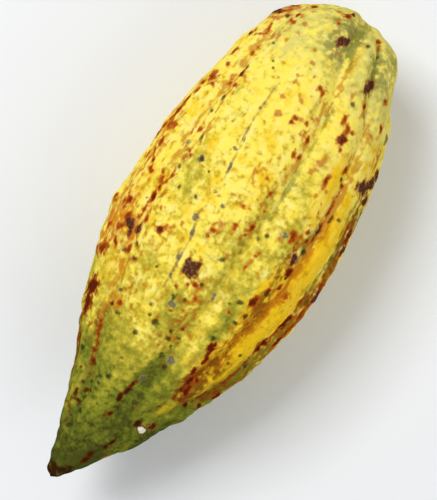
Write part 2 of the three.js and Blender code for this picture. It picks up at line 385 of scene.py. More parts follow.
# Rust spots and streaks, red-brown with an orange rim.
RUST_MARKS = [
    (2.8, -3.8, 4.4, 1.5, -52), (6.8, -5.3, 1.8, 1.4), (6.8, -16.5, 1.6, 2), (15.4, -20.6, 2.2, 3),
    (12.4, -20.1, 4.5, 1.2), (13.6, -25.2, 5, 1.6, -50), (10.2, -23, 4.6, 1.4, -50),
    (7.4, -20, 3, 1.2, -48), (21.5, -26.8, 3.4, 1.1), (26, -28.4, 4.6, 1.1, -58), (25.8, -30.8, 2.4, 1),
    (33.8, -26.8, 2.6, 1.9), (94, -30.2, 3, 1.6), (31.4, -26.2, 2.2, 1.4), (42.3, -26.3, 3, 1.6, -10),
    (47.4, -26.2, 2.4, 2), (47.6, -28.2, 2.6, 1.5), (49.3, -35, 5.2, 3.6), (51.6, -34, 2.8, 1.6, 30),
    (53.4, -37.2, 3.6, 1.3, -15), (42.4, -32.8, 1.8, 1.6), (37.4, -33.4, 4, 1.3, -10),
    (4.9, 11.7, 1.7, 2.4, 30), (104.2, 29.3, 3.4, 1.5), (31.7, 2.3, 2, 3), (33.2, 3.8, 3.2, 1.5),
    (28.4, 20, 2.4, 1.4, 10), (107.6, -19.3, 3.6, 2.1, -35), (36.9, 16.2, 3.2, 2, -8),
    (38.8, 19.2, 2.6, 1.6, 20), (39.4, 21.4, 1.7, 2), (40.7, 19.6, 3, 1.4), (47.3, 21.1, 2, 1.5),
    (32.4, 29.9, 4.2, 1.3, 15), (23, 26.1, 2.6, 1.5, 20), (46, 0, 2, 2.4), (48.1, -0.3, 1.8, 1.6),
    (45.8, 5, 2.4, 1.8, 30), (50.2, 8.4, 3.8, 1.2, 5), (58.4, 6.9, 2.6, 1.5, 15), (58, 9.2, 2, 1.3),
    (60.4, 22.9, 6.8, 1.8, 6), (52.7, 26.9, 3.4, 1.7, 5), (58.6, 28.6, 2.4, 1.2, 15),
    (71.2, 29.8, 4.2, 1.4), (75.6, 30.2, 3, 1.5), (81.6, 30.4, 2.4, 1.4), (83.2, 28.7, 2.2, 1.4),
    (85, 23.2, 5.6, 2.1, 12), (80.4, 27.4, 2.4, 1.5), (71.4, 3.1, 1.5, 1.5), (75.4, 7.4, 1.4, 1.4),
    (82.4, 9, 1.8, 1.4), (90.6, 8, 2.6, 1.9, -25), (94, 7.7, 1.7, 1.6), (93.3, 2.5, 2.4, 1.6, 15),
    (99, -4.1, 1.9, 2.2), (101.7, -3.9, 1.2, 1.2), (85, 1.4, 1.7, 2, 20), (62.8, -39.1, 3.6, 1.3, -8),
    (66.2, -39.4, 4.4, 1.3), (72.8, -38.6, 3.4, 4), (80.6, -38.5, 3.4, 2.2), (84.5, -39, 4, 1, 15),
    (88, -37.4, 2, 1.4, 20), (92, -36, 2.8, 1.4, 20), (68.8, -28.4, 2.2, 2), (71.4, -30.6, 4, 1.3),
    (77.6, -27.8, 1.8, 1.4), (79.2, -26.2, 2.2, 1.2), (89.2, -28, 3.2, 1.7, 8), (92.8, -28.8, 2.2, 1.5),
    (91.6, -31, 3.8, 1.4, 28), (99.6, -30, 5, 1.7), (104.6, -30, 6.5, 1.4), (98.8, 15.1, 3.4, 1.3, -12),
    (104.4, 14.3, 2.2, 1.2), (105.6, 33.1, 4.2, 2.2), (107, 26.5, 2.4, 1.4), (106, -37.2, 6.4, 3, -12),
    (111, -34.2, 5, 2.2), (115.8, -34.6, 3.4, 2.6, -20), (108.4, -27.6, 4, 1.5, 5),
    (121.2, -27.4, 4.8, 2, 8), (102, -25.1, 2.4, 1.4, 15), (121.6, -33.4, 5.2, 1.7, 40),
    (126.4, -36, 7.4, 4.8, -15), (87.6, -40.4, 4, 1.2), (57, -37.6, 4, 1.1, -8), (108.2, -42, 4, 1.6),
    (127.6, -36.6, 4, 1.6, 15), (117.8, -38.6, 3, 1.6, 15), (124.3, 4.2, 3.2, 2.2),
    (136.6, 6.6, 1.8, 1.8), (120, 1.6, 1.8, 3.2), (71.8, 39.2, 4, 1, 15), (133.3, -1, 1.2, 1.9),
    (121.4, -1, 1.8, 2, -30), (122, 17.8, 1.6, 2.2, 20), (124.4, -4.3, 1.5, 1.6),
    (142.4, -21.5, 1.8, 2.3), (140.6, -19.4, 2, 1.6), (126, 34, 4.2, 1.8, 30), (133.6, 33.5, 1.6, 1.3),
    (141.6, 31.7, 3.2, 1.4, -20), (153, -20.6, 6.4, 1.8, 14), (157.6, -18.6, 4, 1.5, 35),
    (161.5, -18.2, 4, 1.3, 15), (164.6, -16, 2.5, 2.5), (153.6, -25, 2, 2.2), (160, -25, 3.4, 1.4, 25),
    (169.2, -18.9, 1.8, 1.4), (177.8, -15.4, 5, 1.3, 10), (180.5, -13.3, 1.5, 2.9),
    (175.8, -12.3, 2.3, 2), (175, -10.7, 1.5, 1.5), (150, -29, 4, 1.5, 20), (156.6, 18.4, 5, 1.5),
    (153, 26.2, 5, 1.3, -30), (159.2, 20, 3, 1.8), (178, 0.3, 2, 1.4),
]

# Faded spots, pinkish brown.
FADED_MARKS = [
    (18.2, -16, 1.4, 1.6), (22.8, -18.8, 1.6, 1.4), (24.5, -23.8, 2.6, 1.6), (29.3, -2.4, 1.3, 1.3),
    (31.8, -8, 1.6, 1.4), (34, -7.6, 2.4, 0.9), (38, -3.4, 1.5, 1.4), (39.6, -1.6, 1.4, 2.4, -20),
    (41.7, -8.2, 1.3, 2.6, 10), (48, -6.7, 2.3, 2.5), (45.4, 2.4, 1.6, 3.6), (54.4, 18, 3, 1.8, -10),
    (57, 17, 3.8, 2.2, -20), (60, 16, 2.2, 1.5), (64.8, 4.6, 1.6, 1.4), (80.3, -20, 1.2, 2.4),
    (95.8, -2.2, 3, 2.8), (103, -15, 2.4, 1.3, 10), (116.4, -39.4, 5, 1.6, 15), (9, -18.8, 4.4, 1.5, -48),
    (15.6, -24.6, 5, 2, -50), (17.6, -26.4, 4, 1.8, -30), (10.8, -22, 4.6, 1.2, -52), (14, -16.2, 2, 1.4),
    (17, 0.2, 1.2, 3.6), (103.6, 6, 1.8, 1.4), (68.4, 0.4, 1.4, 2), (25, -5.6, 1.4, 1.6),
    (28, 14.2, 1.6, 1.6), (42.4, 7, 2.6, 1.5), (67, 22.3, 2, 1.3, 20), (71.4, -2.4, 4, 1, 20),
    (75.4, -0.4, 2, 1.3), (88, 20, 2.4, 1.6), (101.4, 14.7, 5, 1.3, -6), (120, 2.6, 1.8, 3),
    (22.4, -22.4, 1.8, 1.5), (43.7, -24.3, 3.6, 1.4, 38), (31.2, 21.6, 3.8, 1.2, 25),
    (118, -29.4, 3.2, 1.3), (80.6, 6.8, 1.5, 1.5), (80.4, -28, 1.8, 1.6), (124, -23, 2.2, 2.2),
    (94.2, -1.2, 2.2, 2), (24, -27.2, 2.6, 1.8), (18.5, -27, 2, 1.6), (63.6, 24.8, 1.8, 1.4),
]

# Small dark dots, olive black, and grey ones with a pale rim.
DOTS = [
    (32.3, -18.7, 1, 1), (34.5, -17.4, 1.1, 1.1), (26.4, -22.3, 1.1, 1.2), (15, -23.3, 1.5, 1.6),
    (8.3, 9.1, 1.3, 1.2), (30, 15.8, 2, 1.4), (39.4, -25.9, 1.7, 1.5), (42.4, -26.3, 2.2, 1.1),
    (54, -27.5, 2, 1.4), (60.6, -28.6, 1.3, 1.5), (71.2, -26.3, 3.2, 1.1), (84.8, -27.7, 1.6, 1.4),
    (91.7, -23.5, 1.4, 1.3), (91.7, -16, 1.4, 1.3), (80.9, -17, 1, 1.2), (128, -2.9, 2.6, 1.7),
    (123.6, -23.4, 1.4, 1.6), (70.2, 34.8, 1.5, 1.6), (71.3, 31.9, 3.6, 1.1), (56.7, 27.5, 1.4, 1.5),
    (87.7, 29.9, 2.1, 1.9), (99.6, 29.4, 1.4, 1.4), (106.3, 5.1, 2, 1.8), (89.5, 14.6, 1.8, 1.4),
    (92.5, 12.2, 1.4, 1.3), (118.6, 3.8, 1.4, 1.4), (116.3, 19.7, 2, 2), (119, 16.6, 1.3, 1.4),
    (124.1, 22.2, 1.5, 1.6), (120, 24.3, 1.9, 1.5), (108.3, 26.6, 1.9, 1.6), (133.5, 18.3, 1.5, 1.5),
    (133.5, 30.4, 1.4, 1.4), (136, 34, 1.5, 1.7), (118.2, -25.9, 1.6, 1.6), (122.9, -28.7, 1.8, 1.4),
    (121.8, -14.6, 1.1, 1.1), (134.9, -8.6, 1.5, 2.1), (138.6, -7.1, 1.4, 1.4), (140, -3.6, 2.1, 2.1),
    (144.6, -18, 1.5, 2), (147.1, -8.2, 1.9, 1.9), (136.5, -21.6, 1.5, 1.5), (142.8, -21.3, 1.3, 1.8),
    (162.3, -22.3, 1.6, 1.5), (173.6, -15, 1.4, 1.5), (166.8, -8.2, 1.6, 2), (168.4, -10.8, 1.5, 1.6),
    (171, -9.6, 1.4, 2), (171.6, -12.3, 1.5, 1.5), (177.9, -11.3, 1.6, 1.4), (183.4, -10.1, 1.9, 1.9),
    (190.6, -10.9, 1.6, 1.6), (158.2, -7.6, 1.4, 1.4), (149.4, 4.9, 2, 1.9), (152.5, 8.2, 1.6, 1.5),
    (140.4, 7, 1.4, 1.7), (138.5, 28.2, 1.3, 1.3), (182, 14.2, 1.6, 1.6), (127, 1.4, 1.4, 1.3),
    (142.8, 3.6, 1.4, 1.5), (139.8, 3.2, 1.3, 1.4), (144.6, 6, 1.4, 1.4), (78.2, -22, 2, 1.7),
    (10.2, 14.2, 1.6, 1.2),
]
GREY_MARKS = [
    (50, -13.3, 1.7, 1.1), (63.4, -12.3, 2.2, 1), (68, -13.3, 1.2, 1.6), (74.8, -11.2, 3.4, 1.2, 12),
    (78, -21.9, 2.6, 2.2), (85.9, -11, 1.1, 1.5), (89, -5.5, 1.4, 1.7), (98, -12.3, 2.4, 2.4),
    (103.4, -10, 3, 1.3, 10), (114.2, -9.5, 2.2, 1.8), (121.8, -8.3, 2.4, 1, 30), (130.7, -2.1, 2.2, 2.4),
    (85.8, 20.5, 1.9, 1.9), (120.2, 9.9, 2.8, 1.3, 15), (149, 9.2, 2.4, 2.8), (160.5, 3.6, 2.2, 1.5, -30),
    (35, 33.4, 4, 2, 25), (75.6, -29.8, 2.4, 1.2), (101.6, -31.5, 1.3, 1.1), (91.6, 29, 2.2, 0.9),
]
NICKS = [(177.3, 13.8, 2.8, 3.8)]

# Lines along the pod: their width, and the places that they pass. Tan lines follow the furrows.
TAN_LINES = [
    (1.3, [
        (17, -21.6), (20, -22.8), (24, -24.2), (28, -25.6), (33, -26.7), (38, -27), (44, -26.7),
        (50, -26.9),
    ]),
    (1.2, [(50, -26.9), (56, -27), (62, -26.4), (68, -26.2), (76, -27)]),
    (2.4, [(24, -25.4), (30, -27), (38, -28), (46, -28.4), (52, -29)]),
    (1.4, [(52, -29), (58, -30), (66, -30.6), (78, -31), (88, -31)]),
    (1.4, [(52, -37), (56, -38), (60, -38.7), (65, -39.3)]),
    (1.6, [(17, 6.6), (20, 7.2), (24, 7.7), (30, 8.5), (38, 9.4)]),
    (1.8, [(34, 6.4), (42, 7.8), (48, 8.8), (54, 9.2), (60, 9.4), (64, 9.6)]),
    (1.4, [
        (25, 18.8), (28, 19.8), (31, 21.2), (34, 23.4), (37, 25.4), (41, 26.4), (46, 26.4), (52, 26.8),
    ]),
    (2.2, [(34, 24.8), (38, 26.8), (42, 27.9), (47, 28.8), (52, 29.6), (58, 30), (64, 30.7), (70, 31.2)]),
    (1.2, [(120, -29), (124, -28.6), (128, -27.6), (133, -26.2), (138, -25.6), (143, -24.6), (148, -23)]),
    (1.4, [(148, -22.6), (152, -20.8), (158, -18.6), (165, -16.6), (172, -15.8), (178, -15.2)]),
]
RUST_LINES = [
    (1.1, [(6, 12.6), (8, 13.2)]),
    (1.1, [(61, 29.2), (66, 29.5), (70, 29.8)]),
    (1.0, [(129, 34.6), (133, 33.6), (138, 32.7), (142, 31.6), (146, 30.2)]),
    (0.9, [(150, 28), (154, 26), (158, 24)]),
    (1.2, [(134, 20), (140, 20), (145, 19.2), (150, 18.4), (156, 18.2), (161, 17.4)]),
    (1.5, [(94, 42.3), (98, 42.6), (104, 42.3), (110, 41.5), (116, 40.6), (124, 38.9)]),
    (1.5, [(90, -31.8), (93, -30.8), (96, -30.2), (103, -30.2), (110, -30.4)]),
    (1.4, [(100, 39.1), (103, 38.9), (107, 38.6), (111, 38.2), (118, 36.8), (122, 36.2)]),
    (1.4, [(60, -38.7), (68, -39.5), (76, -41), (84, -41.6)]),
    (1.4, [(150, -21.6), (154, -20.2), (158, -18.8), (161, -17.6)]),
]
# Olive lines along furrows: olive colour, and painted shade in the furrow floors.
OLIVE_AND_SHADE_LINES = [
    (1.4, [(58, 36.5), (62, 37), (66, 37.4), (70, 38)]),
    (2.0, [(60, 39), (65, 40.2), (70, 41), (76, 41.6)]),
    (1.8, [(70, 38.4), (78, 39.5), (84, 39.7), (92, 39.4), (100, 39), (106, 38.4)]),
    (3.2, [(2, 4), (8, 4.3), (12, 4.6), (16, 5.4), (19, 6.4)]),
    (1.2, [(34, 10), (41, 10.7), (47, 11.2), (54, 11.7), (60, 11.9), (66, 12), (74, 12.2), (84, 12.4)]),
    (1.3, [(62, 12), (66, 12), (70, 12.1), (73, 12.2)]),
    (2.1, [(6, 12.8), (10, 13.9), (14, 15.6), (18, 16.8), (24, 18.6)]),
    (1.3, [(17, -21.8), (20, -22.8), (24, -24)]),
    (1.8, [(112, 40.4), (120, 38.6), (128, 36.8), (136, 34.8), (144, 32)]),
    (1.4, [(76, 29), (84, 29.2), (92, 28.4), (98, 27.6)]),
]
CRACK_LINES = [
    (1, [(41, -12.5), (50, -13.2), (57, -13), (63, -12.4), (68, -12), (75, -11.2), (81, -11.1)]),
    (1, [
        (92, -11), (97, -11.6), (100, -11), (103, -10.2), (106, -9.4), (115, -9), (119, -8.7),
        (127, -8.4),
    ]),
]

# Soft zones of colour: as marks, but with their strength before the turn. Those of less than
# nothing take away from what others give.
GREEN_ZONES = [
    (82, -23, 17, 8, 0.5), (90, -21, 14, 8, 0.3), (88, 8, 40, 5, 0.35), (92, 22, 22, 8, 0.5),
    (113, 8.6, 24, 4, 0.3), (129, -2, 12, 9, 0.4), (154, 6, 17, 7, 0.8, -8), (175, 5, 26, 9, 0.6),
    (140, -12, 26, 12, -0.4), (147, -2, 12, 14, -0.5), (131, 13.2, 26, 4.4, -0.5, -2),
    (162, -4, 20, 9, -0.5), (166, 14, 20, 8, -0.3, -20), (178, -6.5, 14, 7, -0.35), (98, 4, 9, 9, 0.4),
    (122, 22, 22, 6, 0.5, -8), (61, 17, 24, 7, 0.45), (60, 10.6, 20, 4, 0.45), (75, 22, 12, 5, 0.4),
    (140, 34, 30, 5, 0.5, -18), (96, -19, 12, 10, 0.25), (122, -18, 8, 8, 0.3), (140, 1, 16, 10, 0.3),
    (87, 24, 16, 8, 0.7), (26, 2, 14, 6, 0.35), (78, 22, 14, 5, 0.4), (56, -25, 24, 6, 0.25),
    (152, -14, 16, 6, 0.3, 10), (118, -13, 20, 10, -0.3), (134, -20, 12, 6, -0.3),
    (158, -11, 10, 6, -0.3), (162, 16, 34, 14, 0.15, -20), (160, 27, 26, 4, 0.3, -32),
    (178, 18, 24, 4, 0.6, -24), (10, -9, 22, 30, 0.3), (121, -3, 6, 6, -0.4), (148, 0, 8, 10, -0.2),
    (115, 11, 16, 9, 0.3), (24, 15, 14, 6, 0.2), (147, -27, 18, 9, -0.6, 12), (24, -23, 14, 6, 0.25),
    (146, 15, 12, 6, -0.5), (68, 17, 16, 6, 0.2), (104, 2, 10, 12, 0.25), (92, 12, 36, 10, 0.5),
    (90, 3, 26, 9, 0.35), (128, 18, 24, 5, 0.6), (197, 2, 20, 8, 0.5, -15), (134, -31, 12, 8, -0.4),
    (178, -16, 30, 4, -0.5, 14), (82, -21, 24, 12, 0.3), (84, -34, 30, 10, 0.15), (112, 17, 26, 7, 0.55),
    (58, -18, 30, 14, 0.15), (48, -20, 6, 9, 0.3), (78, 0, 16, 14, 0.2),
]
LIME_ZONES = [
    (8, 0, 34, 64, 1.1), (22, -20, 20, 12, 0.7), (27, 14, 30, 8, 0.45, 8), (30, 26, 34, 12, 0.8, 15),
    (54, 14, 20, 5, 0.5), (132, 13, 24, 4, 0.4), (24, 27, 20, 8, 0.6, 15), (84, -24, 16, 12, 0.3),
]
OLIVE_GREY_ZONES = [
    (12.5, 0.5, 20, 16, 0.8), (14.5, 0.2, 13, 11, 0.45), (9, 3.6, 18, 5.4, 0.6), (4, -5, 9, 16, 0.3),
    (20, 8, 20, 3, 0.4, 6), (13.4, 15.4, 17, 6.4, 0.65, 20), (14, 20.5, 22, 10, 0.75, 15),
    (33, 28, 20, 6, 0.3, 20), (27, 17, 12, 6, 0.25, 10),
]
AMBER_ZONES = [
    (78, 35, 46, 5.5, 1, 4), (103, 34.6, 36, 8.5, 1.2), (119, 32, 28, 8, 1.2, -12),
    (140, 25.6, 30, 12, 1.1, -17), (112, 26.5, 36, 8, 1, -4), (50, 24, 36, 6, 0.3, 8),
    (64, 25, 30, 7, 0.5), (165, 17.5, 12, 4, 0.5, -20), (44, 33, 24, 5, 0.5, 20), (16, 8, 18, 5, 0.5, 8),
    (78, 38.2, 20, 2.4, 0.8, 4), (72, -21, 10, 5, 0.5), (130, -31, 20, 7, 0.4, 12), (97, -36, 24, 8, 0.4),
    (122, -24, 26, 10, 0.3), (76, 3, 22, 10, 0.4), (58, -10, 14, 20, 0.25),
]
ORANGE_ZONES = [
    (80, 30.6, 40, 4.6, 0.8, 2), (71, 38.6, 18, 4, 0.6, 4), (123, -27, 24, 6, 0.45, 6),
    (66, 30, 24, 3, 0.6, 4), (104, -37.6, 36, 7, 0.35), (116, -34, 24, 10, 0.5, 10),
    (96, -40.6, 46, 4, 0.4), (107, 38.6, 14, 4, 0.45, -4), (68, -40.4, 26, 3, 0.8, 4),
    (74, 40.4, 36, 4.4, 1, 6), (100, 41.6, 44, 4, 0.9), (122, 38.6, 30, 5, 0.9, -14),
    (134, -25, 30, 4, 0.6, 10), (111, -28, 20, 5, 0.4), (112, -20, 16, 8, 0.35), (90, -28, 26, 4, 0.4),
    (19, -28.6, 24, 4, 0.5, -14), (14, -27, 14, 5, 0.8, -35), (119, -38, 14, 6, 0.8, 12),
    (70, -31, 22, 5, 0.35), (85, -35, 24, 12, 0.25), (36, -34, 20, 3, 0.4, -12), (48, 36, 20, 4, 0.6, 16),
    (63, 8.6, 26, 3.4, 0.4), (141, -20.4, 8, 6, 0.6), (92, 30.8, 44, 2.6, 0.9), (86, 33.4, 60, 5, 0.4, 2),
    (117, 27, 28, 7, 0.5, -10), (134, 26, 34, 10, 0.25, -14), (116, 28.6, 30, 5, 0.6, -8),
    (140, 23, 24, 7, 0.5, -14), (72, -38.5, 30, 4, 0.6, 5), (121, -38.6, 10, 4, 0.5, 20),
]
BROWN_ZONES = [
    (116, 26.4, 28, 7, 0.5, -10), (130, 20, 16, 5, 0.25, -8), (154, 20.4, 15, 8, 1.9, -6),
    (143, 24.4, 20, 9, 0.55, -14), (130, 25.6, 28, 7, 0.35, -14), (137, 5, 8, 9, 0.5),
    (84, 40.6, 18, 3, 0.7), (61, 38, 14, 4, 0.6, 10), (144, 32.5, 34, 4, 0.35, -22),
    (146, 26.4, 10, 4, 0.35, -16), (102, 42.6, 56, 3, 0.7), (130, 37.6, 34, 6, 0.6, -16),
    (66, 40.8, 24, 3.4, 0.8, 10), (152, 28, 16, 4, 0.8, -25), (44, 35.6, 16, 3, 0.5, 18),
    (80, -28, 10, 5, 0.3), (113, 25.5, 10, 6, 0.6), (138, -34.6, 20, 3, 0.1, 14),
    (94, 26.4, 20, 4.6, 0.9), (90, 8.6, 34, 5, 0.45), (124, -24, 10, 5, 0.4), (152, -15, 12, 5, 0.35, 10),
    (43, 20.4, 16, 2.4, 0.4, 4), (39, 4.4, 14, 3, 0.6), (124, 34.6, 10, 4, 0.5, -15),
    (86, 29.4, 16, 2.4, 0.5), (178.6, -0.7, 5, 4, 0.8), (172, 8.2, 7, 2.2, 0.7),
    (147, -23, 12, 4, 0.6, 14), (156, -19.8, 20, 4, 0.8, 22), (168, -14, 12, 3, 0.6, 25),
    (127, 3, 12, 12, 0.45), (72, 39.6, 20, 4, 0.9, 6), (79.5, -27, 7, 5, 0.35), (144.5, 0.5, 8, 8, 0.5),
    (166, -22.6, 40, 3, 0.6, 24), (86, -1, 4, 5, 0.3), (76, 6, 8, 6, 0.35), (158, -26.6, 24, 3, 0.8, 24),
    (199, 1, 12, 5, 0.2, -20), (100, -4.8, 7, 6, 0.6), (186, -14.6, 34, 3, 0.35, 14),
    (93, -28, 20, 4, 0.4, -4), (167, 15, 12, 2, 0.7, -20), (190, 7, 16, 3, 0.35, -24),
    (108, 40.5, 28, 5, 0.8, -4),
]
FRECKLE_ZONES = [
    (72, 3, 30, 12, 0.4), (90, 6, 18, 10, 0.65), (97, 1, 14, 14, 0.7), (136, 4, 28, 14, 1.1),
    (142, -12, 24, 14, 0.7), (133, -21, 34, 9, 0.8, 6), (118, 26, 34, 9, 0.7, -8), (95, -38, 60, 7, 0.6),
    (62, 25, 26, 8, 0.5, 8), (44, 6, 20, 5, 0.6), (60, -29, 60, 4, 0.5), (16, -21, 30, 9, 0.5, -12),
    (84, 27, 30, 6, 0.8, 4), (104, -26, 16, 8, 0.5),
]

LEAST_NEAR = -2.0
DEEPNESS = 3.4  # how far a mark goes on away from the eye, where the skin slopes, for its width
LINE_STEP = 0.5
ZONE_EDGE = (-0.5, 0.6)  # a zone begins and is full where the skin is this near to it


def smooth_path(places):
    """Places at even steps along a smooth curve through the given ones."""
    places = np.array(places, float)
    count = int(np.ptp(places[:, 0]) / LINE_STEP) + 2
    return smooth_value(places, np.linspace(0, len(places) - 1, count))


class Painter:
    """Finds the places that the camera sees, and measures how near the skin is to them."""

    def __init__(self, skin):
        self.points = skin.points
        self.normals = skin.normals()
        self.shape = skin.along.shape
        self.tree = BVHTree.FromPolygons(skin.points.reshape(-1, 3).tolist(), skin.quads().tolist())

    def seen_place(self, along, across):
        """The skin's point where the camera sees this place, and the direction of the camera."""
        aim = Vector((along - REST_STATION, across, SEEN_LEVEL)) - EYE
        point = self.tree.ray_cast(EYE, aim)[0]
        if point is None:
            point = self.tree.find_nearest(EYE + aim)[0]
        return np.array(point), np.array(-aim.normalized())

    def nearness(self, place, length, width, turn=0):
        """One at a mark's middle, zero on its edge and down to LEAST_NEAR away from it.

        The place is a point and the direction that the mark is looked at from.
        """
        point, sight = place
        ahead = np.array((1, 0, 0)) - sight * sight[0]
        ahead /= np.linalg.norm(ahead)
        aside = np.cross(sight, ahead)
        turn = math.radians(turn)
        long_way = ahead * math.cos(turn) + aside * math.sin(turn)
        cross_way = aside * math.cos(turn) - ahead * math.sin(turn)
        away = self.points - point
        ways = long_way, cross_way, sight
        sizes = length, width, DEEPNESS * min(length, width)
        reach = [away @ way / size for way, size in zip(ways, sizes)]
        return np.maximum(1 - 2 * np.sqrt(sum(part * part for part in reach)), LEAST_NEAR)

    def marks(self, marks):
        field = np.full(self.shape, LEAST_NEAR)
        for along, across, *form in marks:
            field = np.maximum(field, self.nearness(self.seen_place(along, across), *form))
        return field

    def hidden_marks(self, marks):
        """The same for marks that are given by their ring, column, length, width and turn."""
        field = np.full(self.shape, LEAST_NEAR)
        for ring, column, *form in marks:
            place = self.points[ring, column], self.normals[ring, column]
            field = np.maximum(field, self.nearness(place, *form))
        return field

    def lines(self, lines):
        field = np.full(self.shape, LEAST_NEAR)
        for width, places in lines:
            for step in smooth_path(places):
                near = self.nearness(self.seen_place(*step), width, width)
                field = np.maximum(field, near)
        return field

    def zones(self, zones):
        field = np.zeros(self.shape)
        for along, across, length, width, strength, *turn in zones:
            near = self.nearness(self.seen_place(along, across), length, width, *turn)
            field += strength * smoothstep(near, *ZONE_EDGE)
        return field


# ---- the hidden side ------------------------------------------------------------------------

HIDDEN_SEED = 11
HIDDEN_FROM = 80  # degrees from the top at which the camera's view ends
HIDDEN_KINDS = {
    # how many, least and greatest length, least and greatest width as a share of the length
    "dark": (7, 3, 8, 0.4, 0.9),
    "dark_rust": (10, 2.5, 8, 0.3, 0.8),
    "rust": (80, 1.2, 6, 0.3, 1),
    "faded": (16, 1.4, 5, 0.4, 1),
    "dots": (50, 1.2, 2, 0.8, 1),
    "grey": (14, 1.2, 3.2, 0.5, 1),
}
HIDDEN_TURN = 20


def hidden_marks(skin, random):
    """Scattered marks of every kind over the sides that the camera doesn't see."""
    rings, columns = np.nonzero(np.abs(angle_between(skin.angle, 0)) > HIDDEN_FROM)
    kinds = {}
    for kind, (count, least, greatest, narrow, wide) in HIDDEN_KINDS.items():
        kinds[kind] = []
        for _ in range(count):
            pick = random.integers(len(rings))
            length = lerp((least, greatest), random.random() ** 2)  # most are small
            width = length * lerp((narrow, wide), random.random())
            turn = lerp((-HIDDEN_TURN, HIDDEN_TURN), random.random())
            kinds[kind].append((rings[pick], columns[pick], length, width, turn))
    return kinds


# ---- fields that the material reads ---------------------------------------------------------

# How green the pod is along its length, before the zones: none is yellow, 1 olive yellow,
# 2 olive and 3 dark green.
GREEN_STEP = 15
GREEN = [0, 0, 0, 0, 0, 0.05, 0.15, 0.3, 0.65, 1.15, 1.6, 2.05, 2.35, 2.75, 3.3]
STAIN_AND_SHADE_WIDTH = 2.4
STAIN_AND_SHADE_FROM = (75, 95)  # degrees from the top between which the furrows' stain and painted shade begin
RUST_LINES_WEAKER = 0.15
DARK_SINK = 0.35
NICK_SINK = 0.7
SUNK_EDGE = (-0.1, 0.4)  # a sunk mark begins and is full where the skin is this near to it
SCAR_RADIUS = 5.8  # of the stalk's scar
SCAR_EDGE = 1
STALK_END = 20


def furrow_stain_and_shade(skin):
    """Brown in the furrows that the camera doesn't see: partly stain, partly painted shade in the furrow
    floors.
    """
    hidden = smoothstep(np.abs(angle_between(skin.angle, 0)), *STAIN_AND_SHADE_FROM)
    return hidden * furrow_lines(skin.along, skin.radius, skin.angle, STAIN_AND_SHADE_WIDTH)


def paint_fields(skin):
    painter = Painter(skin)
    hidden = hidden_marks(skin, np.random.default_rng(HIDDEN_SEED))
    seen = {
        "dark": DARK_MARKS, "dark_rust": DARK_RUST_MARKS, "rust": RUST_MARKS, "faded": FADED_MARKS,
        "dots": DOTS, "grey": GREY_MARKS,
    }
    fields = {
        kind: np.maximum(painter.marks(marks), painter.hidden_marks(hidden[kind]))
        for kind, marks in seen.items()
    }
    rust_lines = painter.lines(RUST_LINES) - RUST_LINES_WEAKER
    fields["rust"] = np.maximum(fields["rust"], rust_lines)
    fields["nick"] = painter.marks(NICKS)
    fields["tan"] = painter.lines(TAN_LINES)
    fields["olive_and_shade_line"] = painter.lines(OLIVE_AND_SHADE_LINES)
    fields["crack"] = painter.lines(CRACK_LINES)
    zones = {
        "green": GREEN_ZONES, "lime": LIME_ZONES, "olive_grey": OLIVE_GREY_ZONES,
        "amber": AMBER_ZONES, "orange": ORANGE_ZONES, "brown": BROWN_ZONES,
        "freckle": FRECKLE_ZONES,
    }
    for name, places in zones.items():
        fields[name] = painter.zones(places)
    fields["green"] = fields["green"] + smooth_value(GREEN, skin.along / GREEN_STEP)
    fields["stain_and_shade"] = furrow_stain_and_shade(skin)
    fields["along"] = skin.along
    # The fine relief's height, which the skin material turns into painted highlights on the lumps and
    # painted shade in the hollows.
    fields["relief"] = skin.fine
    inside = smoothstep(-skin.radius, -SCAR_RADIUS - SCAR_EDGE, -SCAR_RADIUS + SCAR_EDGE)
    fields["scar"] = inside * (skin.along < STALK_END)
    return fields


# The values at the pod's two end points, where they aren't those of a plain piece of skin.
END_VALUES = {"along": (0, POD_LENGTH), "scar": (1, 0), "green": (0, GREEN[-1])}
MARK_FIELDS = {
    "dark", "dark_rust", "rust", "faded", "dots", "grey", "nick", "tan", "olive_and_shade_line", "crack",
}


def store(mesh, fields):
    for name, field in fields.items():
        ends = END_VALUES.get(name, (LEAST_NEAR, LEAST_NEAR) if name in MARK_FIELDS else (0, 0))
        values = np.concatenate([np.ravel(field), ends]).astype(np.float32)
        mesh.attributes.new(name, "FLOAT", "POINT").data.foreach_set("value", values)


def make_pod():
    skin = Skin()
    fields = paint_fields(skin)
    skin.sink(smoothstep(fields["dark"], *SUNK_EDGE) * DARK_SINK)
    skin.sink(smoothstep(fields["nick"], *SUNK_EDGE) * NICK_SINK)
    skin.keep_inside(np.array(cad_box) / MM)
    mesh = bpy.data.meshes.new("cacao_pod_skin")
    mesh.from_pydata(skin.vertices().tolist(), [], skin.faces())
    mesh.validate()
    mesh.polygons.foreach_set("use_smooth", [True] * len(mesh.polygons))
    store(mesh, fields)
    pod = bpy.data.objects.new("cacao_pod_skin", mesh)
    bpy.context.scene.collection.objects.link(pod)
    return pod


# ---- materials ------------------------------------------------------------------------------

NOISE_SPREAD = 0.1245  # how far one octave of Blender's noise strays from its mean
SPECK_EDGE = 0.6  # the share of a speck's radius that it is full in


def srgb(red, green, blue):
    """A colour as it looks, from 0 to 255, as the linear colour that a shader takes."""
    def linear(value):
        value = value / 255
        return value / 12.92 if value <= 0.04045 else ((value + 0.055) / 1.055) ** 2.4
    return (linear(red), linear(green), linear(blue), 1)


